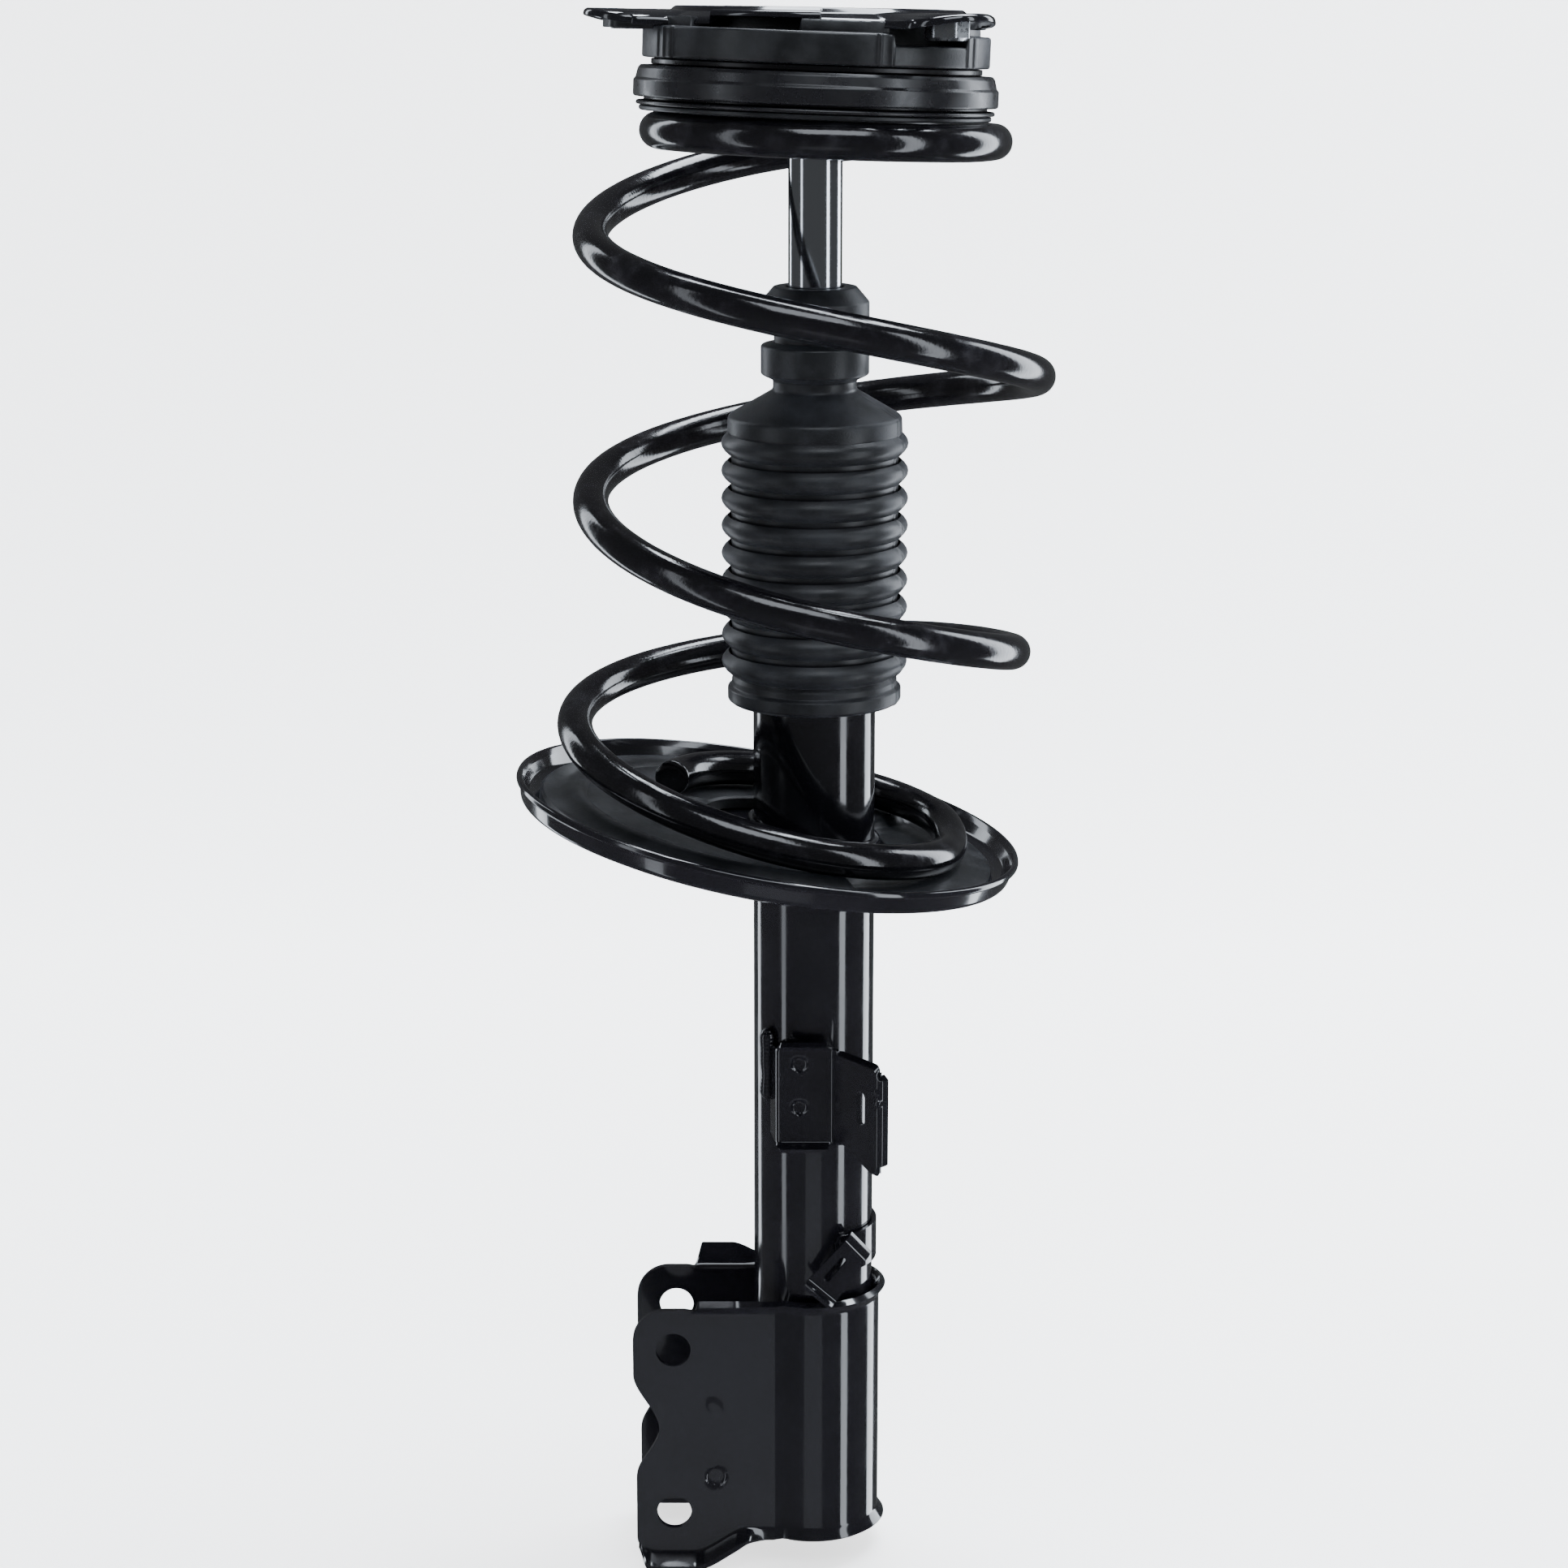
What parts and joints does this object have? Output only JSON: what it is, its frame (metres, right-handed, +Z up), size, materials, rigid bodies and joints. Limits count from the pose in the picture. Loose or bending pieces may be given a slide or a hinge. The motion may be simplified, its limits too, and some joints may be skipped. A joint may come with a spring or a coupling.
{
  "type": "strut assembly",
  "caption": "Front suspension strut: damper with coil spring between a tilted dish seat and a rubber top mount with bearing, boot on the rod, and a two-eared clamp bracket for the knuckle.",
  "frame": {"origin": "on the damper axis at the height of the top mount's upper face", "axes": "+Z up along the damper axis, +X away from the knuckle bracket's ears, -Y towards the hose bracket"},
  "size_m": [0.2229, 0.2148, 0.6625],
  "materials": {
    "black_paint": "gloss",
    "zinc": "satin",
    "mount_rubber": "satin",
    "boot_rubber": "satin",
    "bearing_plastic": "satin",
    "bearing_steel": "satin",
    "hard_chrome": "polished"
  },
  "bodies": {
    "top_mount": {"mount_plate": "black_paint", "weld_nut_1": "zinc", "weld_nut_2": "zinc", "weld_nut_3": "zinc", "mount_insulator": "mount_rubber", "insulator_support_ring": "bearing_plastic", "bearing_upper_case": "bearing_plastic"},
    "seat_and_rod": {"bearing_ball_cage": "bearing_steel", "bearing_lower_case": "bearing_plastic", "upper_spring_seat": "black_paint", "upper_spring_isolator": "mount_rubber", "piston_rod": "hard_chrome", "rod_washer": "bearing_steel", "rod_nut": "zinc", "rebound_stop": "mount_rubber", "piston": "bearing_steel", "piston_nut": "bearing_steel"},
    "damper": {"outer_tube": "black_paint", "inner_tube": "bearing_steel", "rod_seal": "mount_rubber", "rod_guide": "bearing_steel", "base_valve": "bearing_steel", "bottom_cap": "bearing_steel", "dust_boot": "boot_rubber", "bump_stop": "boot_rubber", "coil_spring": "black_paint", "lower_spring_seat": "black_paint", "lower_spring_pad": "mount_rubber", "seat_weld": "black_paint", "hose_bracket": "black_paint", "hose_bracket_weld": "black_paint", "sensor_wire_bracket": "black_paint", "knuckle_bracket": "black_paint"}
  },
  "joints": [
    {"name": "steering_swivel", "type": "hinge", "parent": "top_mount", "child": "seat_and_rod", "pos_m": [0, 0, -0.0363], "axis": [0.0366, 0.0401, 0.9985], "continuous": true},
    {"name": "damper_stroke", "type": "slide", "parent": "seat_and_rod", "child": "damper", "axis": [0, 0, 1], "range_m": [0, 0.072], "stiffness_N_per_m": 30000, "deforming": ["coil_spring"]}
  ]
}
